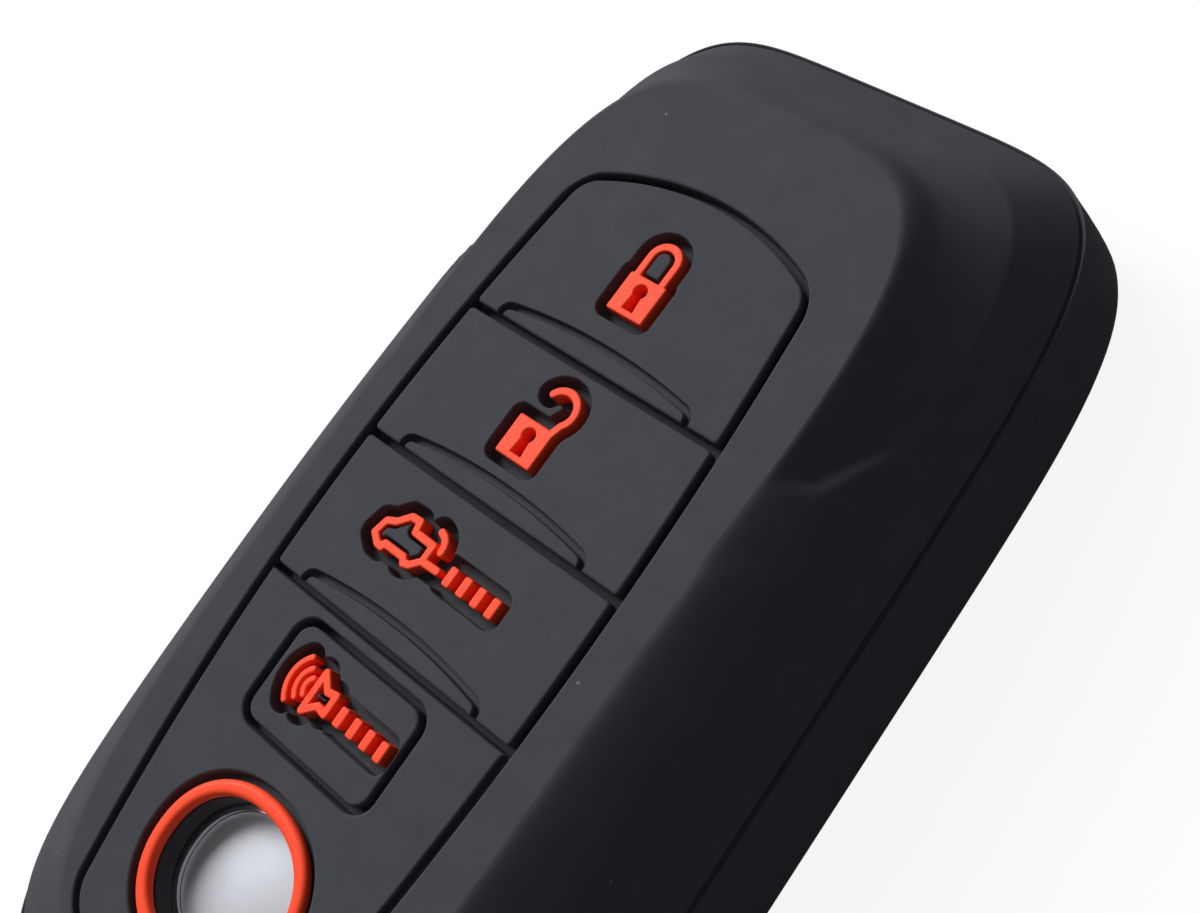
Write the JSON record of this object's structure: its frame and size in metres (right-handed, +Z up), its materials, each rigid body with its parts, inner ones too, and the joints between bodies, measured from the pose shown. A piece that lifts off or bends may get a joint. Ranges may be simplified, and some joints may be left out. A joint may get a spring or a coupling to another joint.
{
  "type": "key fob cover",
  "caption": "Soft two-part cover for a car key fob, with grooved button pads, inlaid marks, a round badge window and the plain fob it holds.",
  "frame": {"origin": "middle of the whole part's footprint, on the surface that the cover's back rests on", "axes": "+Z up through the button pads, +Y along the cover towards the lock pad's end, +X to the right with the pads facing the viewer and the lock pad at the top"},
  "size_m": [0.0506, 0.0994, 0.02],
  "materials": {
    "cover_black": "matte, fine grain",
    "mark_red": "satin",
    "fob_black": "matte",
    "fob_key_grey": "matte",
    "badge_silver": "satin",
    "rim_chrome": "polished",
    "mat_grey": "matte",
    "board_green": "gloss",
    "plain_steel": "satin",
    "contact_metal": "satin",
    "coil_wire": "satin",
    "head_black": "matte"
  },
  "bodies": {
    "rear_cover": {"rear_shell": "cover_black"},
    "fob": {"fob_front_housing": "fob_black", "fob_rear_housing": "fob_black", "badge_plate": "badge_silver", "badge_rim": "rim_chrome", "key_mat": "mat_grey", "circuit_board": "board_green", "tact_switches": "plain_steel", "coin_cell": "plain_steel", "battery_contact_plus": "contact_metal", "battery_contact_minus": "contact_metal", "aerial_coil": "coil_wire", "release_spring": "plain_steel"},
    "front_cover": {"front_shell": "cover_black", "window_bead": "mark_red"},
    "lock_button": {"lock_pad": "cover_black", "lock_mark": "mark_red"},
    "unlock_button": {"unlock_pad": "cover_black", "unlock_mark": "mark_red"},
    "liftgate_button": {"liftgate_pad": "cover_black", "liftgate_mark": "mark_red", "liftgate_dashes": "mark_red"},
    "panic_button": {"panic_pad": "cover_black", "panic_mark": "mark_red", "panic_dashes": "mark_red"},
    "emergency_key": {"key_blade": "plain_steel", "key_head": "head_black"},
    "release_latch": {"release_slider": "fob_key_grey"},
    "lock_fob_key": {"lock_key": "fob_key_grey"},
    "unlock_fob_key": {"unlock_key": "fob_key_grey"},
    "liftgate_fob_key": {"liftgate_key": "fob_key_grey"},
    "panic_fob_key": {"panic_key": "fob_key_grey"}
  },
  "joints": [
    {"name": "fob_lift", "type": "slide", "parent": "rear_cover", "child": "fob", "axis": [0, 0, 1], "range_m": [0, 0.02]},
    {"name": "front_cover_lift", "type": "slide", "parent": "rear_cover", "child": "front_cover", "axis": [0, 0, 1], "range_m": [0, 0.04]},
    {"name": "lock_press", "type": "slide", "parent": "front_cover", "child": "lock_button", "axis": [0, 0, -1], "range_m": [0, 0.0005], "stiffness_N_per_m": 2000, "springref_m": -0.0003},
    {"name": "lock_key_press", "type": "slide", "parent": "fob", "child": "lock_fob_key", "axis": [0, 0, -1], "range_m": [0, 0.0005]},
    {"name": "unlock_press", "type": "slide", "parent": "front_cover", "child": "unlock_button", "axis": [0, 0, -1], "range_m": [0, 0.0005], "stiffness_N_per_m": 2000, "springref_m": -0.0003},
    {"name": "unlock_key_press", "type": "slide", "parent": "fob", "child": "unlock_fob_key", "axis": [0, 0, -1], "range_m": [0, 0.0005]},
    {"name": "liftgate_press", "type": "slide", "parent": "front_cover", "child": "liftgate_button", "axis": [0, 0, -1], "range_m": [0, 0.0005], "stiffness_N_per_m": 2000, "springref_m": -0.0003},
    {"name": "liftgate_key_press", "type": "slide", "parent": "fob", "child": "liftgate_fob_key", "axis": [0, 0, -1], "range_m": [0, 0.0005]},
    {"name": "panic_press", "type": "slide", "parent": "front_cover", "child": "panic_button", "axis": [0, 0, -1], "range_m": [0, 0.0005], "stiffness_N_per_m": 2000, "springref_m": -0.0003},
    {"name": "panic_key_press", "type": "slide", "parent": "fob", "child": "panic_fob_key", "axis": [0, 0, -1], "range_m": [0, 0.0005]},
    {"name": "emergency_key_pull", "type": "slide", "parent": "fob", "child": "emergency_key", "axis": [0, -1, 0], "range_m": [0, 0.05]},
    {"name": "release_latch_slide", "type": "slide", "parent": "fob", "child": "release_latch", "axis": [1, 0, 0], "range_m": [0, 0.0015], "stiffness_N_per_m": 300, "springref_m": -0.0005, "deforming": ["release_spring"]}
  ],
  "couplings": [
    {"joint": "front_cover_lift", "follows": "fob_lift", "ratio": 2},
    {"joint": "lock_key_press", "follows": "lock_press", "ratio": 1},
    {"joint": "unlock_key_press", "follows": "unlock_press", "ratio": 1},
    {"joint": "liftgate_key_press", "follows": "liftgate_press", "ratio": 1},
    {"joint": "panic_key_press", "follows": "panic_press", "ratio": 1}
  ]
}
